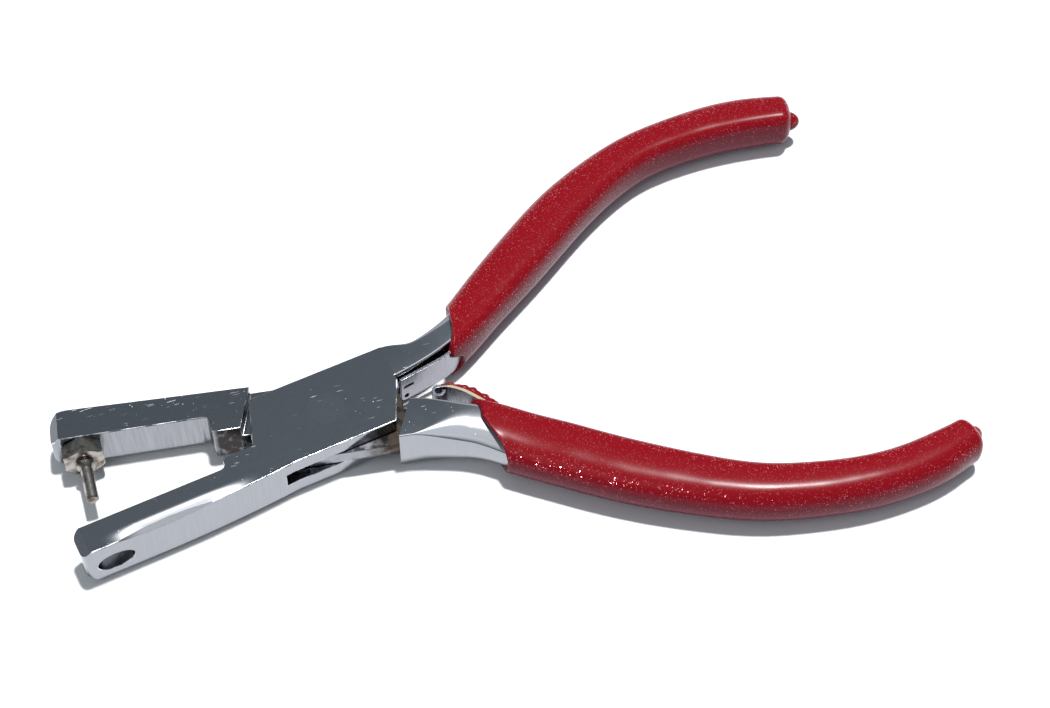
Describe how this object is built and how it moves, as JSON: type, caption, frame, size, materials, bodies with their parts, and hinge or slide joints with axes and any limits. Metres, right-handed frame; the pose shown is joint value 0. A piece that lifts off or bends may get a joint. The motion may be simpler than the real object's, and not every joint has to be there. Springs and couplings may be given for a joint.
{
  "type": "hole punch pliers",
  "caption": "Small box-joint pliers that punch a round hole in thin sheet, with a replaceable pin, a leaf spring and dipped red handles.",
  "frame": {"origin": "on the pivot axis, at the underside of the box", "axes": "+X from the pivot towards the handles, midway between the two levers; +Z along the pivot, up from the underside; +Y towards the die lever's handle"},
  "size_m": [0.1271, 0.0776, 0.0086],
  "materials": {
    "ground_steel": "tool steel, finely ground flats and polished sides",
    "spring_steel": "cold rolled spring strip, bright",
    "nickel_plate": "polished nickel plate",
    "dip": "clear red vinyl dip with fine glitter"
  },
  "bodies": {
    "die_side": {"die_lever": "ground_steel", "pivot_rivet": "ground_steel", "upper_leaf_spring": "spring_steel", "upper_spring_rivet": "spring_steel", "upper_handle_dip": "dip"},
    "punch_side": {"punch_lever": "ground_steel", "punch_holder": "nickel_plate", "punch_pin": "nickel_plate", "lower_leaf_spring": "spring_steel", "lower_spring_rivet": "spring_steel", "lower_handle_dip": "dip"}
  },
  "joints": [
    {"name": "pivot", "type": "hinge", "parent": "die_side", "child": "punch_side", "pos_m": [0, 0, 0.0035], "axis": [0, 0, 1], "range_deg": [0, 16.4], "stiffness_Nm_per_rad": 1.2, "springref_deg": -8.59, "deforming": ["lower_leaf_spring"]}
  ]
}
